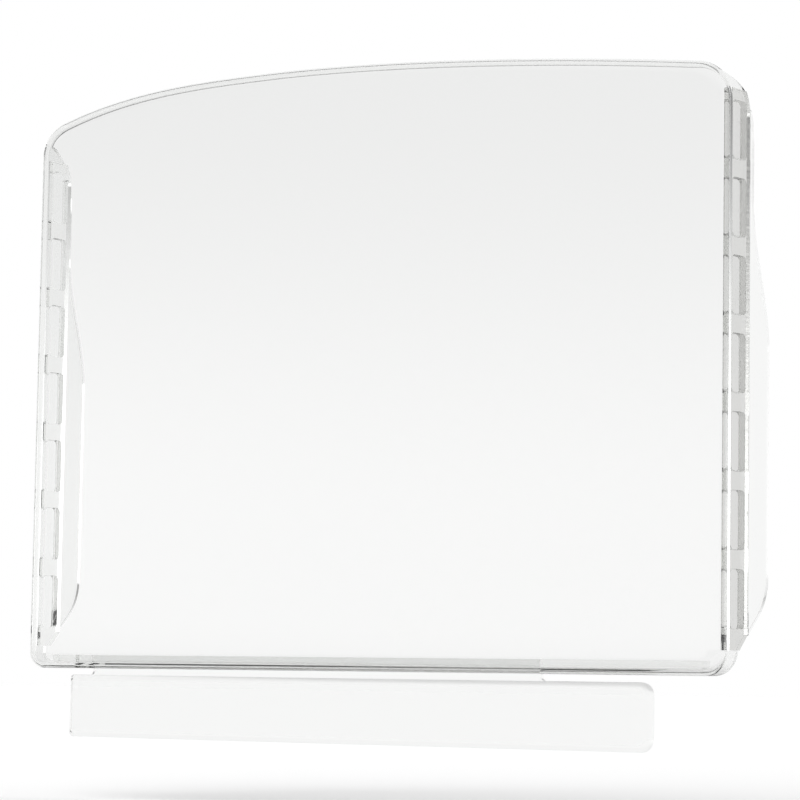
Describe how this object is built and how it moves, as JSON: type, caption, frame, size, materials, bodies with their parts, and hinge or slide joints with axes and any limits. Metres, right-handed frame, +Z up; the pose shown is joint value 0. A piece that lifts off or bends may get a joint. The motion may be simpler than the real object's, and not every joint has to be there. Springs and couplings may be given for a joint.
{
  "type": "sneeze guard",
  "caption": "Clear tabletop sneeze guard: arched front panel with rolled edges, corner posts with blind slots, short side wings and a tab that hangs in a slot in the counter.",
  "frame": {"origin": "mid-width, on the underside that seats on the counter, in the middle of the lip behind the slot for the tab's neck", "axes": "+X along the width, +Y from the flat front to the rear where the wings point, +Z up"},
  "size_m": [0.4596, 0.0473, 0.372],
  "materials": {
    "clear_front": "clear polished plastic sheet",
    "clear_post": "clear moulded plastic",
    "clear_wing": "clear polished plastic sheet",
    "clear_rail": "clear moulded plastic",
    "clear_tab": "clear moulded plastic"
  },
  "bodies": {
    "root": {"front_shell": "clear_front", "left_corner_post": "clear_post", "right_corner_post": "clear_post", "left_wing": "clear_wing", "right_wing": "clear_wing", "bottom_rail": "clear_rail", "hanging_tab": "clear_tab"}
  },
  "joints": []
}
